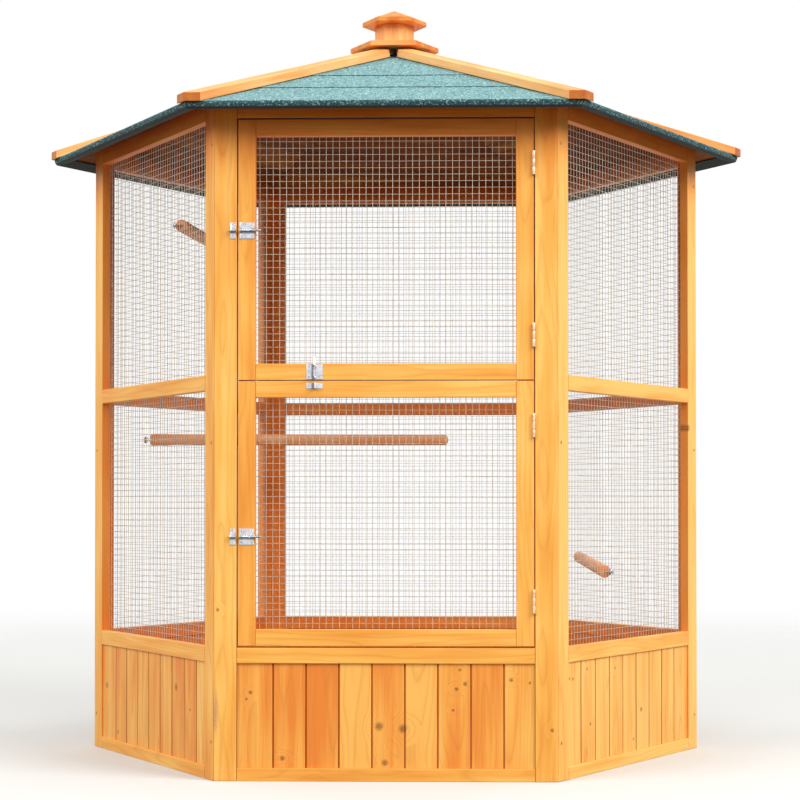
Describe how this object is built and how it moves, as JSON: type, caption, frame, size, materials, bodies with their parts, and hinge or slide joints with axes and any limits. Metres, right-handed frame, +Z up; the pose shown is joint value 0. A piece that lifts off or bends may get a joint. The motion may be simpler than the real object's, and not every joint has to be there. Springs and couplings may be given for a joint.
{
  "type": "garden aviary",
  "caption": "Six-sided wooden garden aviary with wire mesh walls over boarded skirts, a divided front door, perches and a felted roof with a finial.",
  "frame": {"origin": "centre of the six-sided footprint at ground level", "axes": "+Z up; the panel with the two doors faces -Y; +X to the right of it"},
  "size_m": [1.6548, 1.4332, 1.7632],
  "materials": {
    "stained_pine": "honey-stained planed pine, satin",
    "pine_boards": "honey-stained tongue-and-groove pine boards with knots",
    "roof_boards": "red-brown stained pine boards, matt",
    "perch_dowel": "red-brown stained round dowel, matt",
    "green_felt": "bitumen roofing felt with green mineral grit",
    "galvanised_wire": "welded galvanised wire mesh",
    "zinc_steel": "bright zinc-plated steel"
  },
  "bodies": {
    "walls": {"front_stiles": "stained_pine", "front_rails": "stained_pine", "front_boards": "pine_boards", "front_left_stiles": "stained_pine", "front_left_rails": "stained_pine", "front_left_boards": "pine_boards", "front_left_mesh": "galvanised_wire", "back_left_stiles": "stained_pine", "back_left_rails": "stained_pine", "back_left_boards": "pine_boards", "back_left_mesh": "galvanised_wire", "back_stiles": "stained_pine", "back_rails": "stained_pine", "back_boards": "pine_boards", "back_mesh": "galvanised_wire", "back_right_stiles": "stained_pine", "back_right_rails": "stained_pine", "back_right_boards": "pine_boards", "back_right_mesh": "galvanised_wire", "front_right_stiles": "stained_pine", "front_right_rails": "stained_pine", "front_right_boards": "pine_boards", "front_right_mesh": "galvanised_wire", "frame_hinge_leaves": "zinc_steel", "frame_keepers": "zinc_steel", "roof_boards": "roof_boards", "roof_felt": "green_felt", "hip_caps": "stained_pine", "finial_base": "stained_pine", "finial_neck": "stained_pine", "finial_cap": "stained_pine", "perches": "perch_dowel", "perch_screws": "zinc_steel"},
    "upper_door": {"upper_door_stiles": "stained_pine", "upper_door_rails": "stained_pine", "upper_door_mesh": "galvanised_wire", "upper_door_hinge_leaves": "zinc_steel", "upper_door_bolt_plates": "zinc_steel"},
    "lower_door": {"lower_door_stiles": "stained_pine", "lower_door_rails": "stained_pine", "lower_door_mesh": "galvanised_wire", "lower_door_hinge_leaves": "zinc_steel", "lower_door_bolt_plate": "zinc_steel", "middle_keeper": "zinc_steel"},
    "upper_bolt": {"upper_bolt": "zinc_steel"},
    "middle_bolt": {"middle_bolt": "zinc_steel"},
    "lower_bolt": {"lower_bolt": "zinc_steel"}
  },
  "joints": [
    {"name": "upper_door_hinge", "type": "hinge", "parent": "walls", "child": "upper_door", "pos_m": [0.3095, -0.62704, 1.1], "axis": [0, 0, 1], "range_deg": [0, 115]},
    {"name": "lower_door_hinge", "type": "hinge", "parent": "walls", "child": "lower_door", "pos_m": [0.3095, -0.62704, 0.56], "axis": [0, 0, 1], "range_deg": [0, 115]},
    {"name": "upper_bolt_slide", "type": "slide", "parent": "upper_door", "child": "upper_bolt", "axis": [-1, 0, 0], "range_m": [0, 0.014]},
    {"name": "middle_bolt_slide", "type": "slide", "parent": "upper_door", "child": "middle_bolt", "axis": [0, 0, -1], "range_m": [0, 0.014]},
    {"name": "lower_bolt_slide", "type": "slide", "parent": "lower_door", "child": "lower_bolt", "axis": [-1, 0, 0], "range_m": [0, 0.014]}
  ]
}
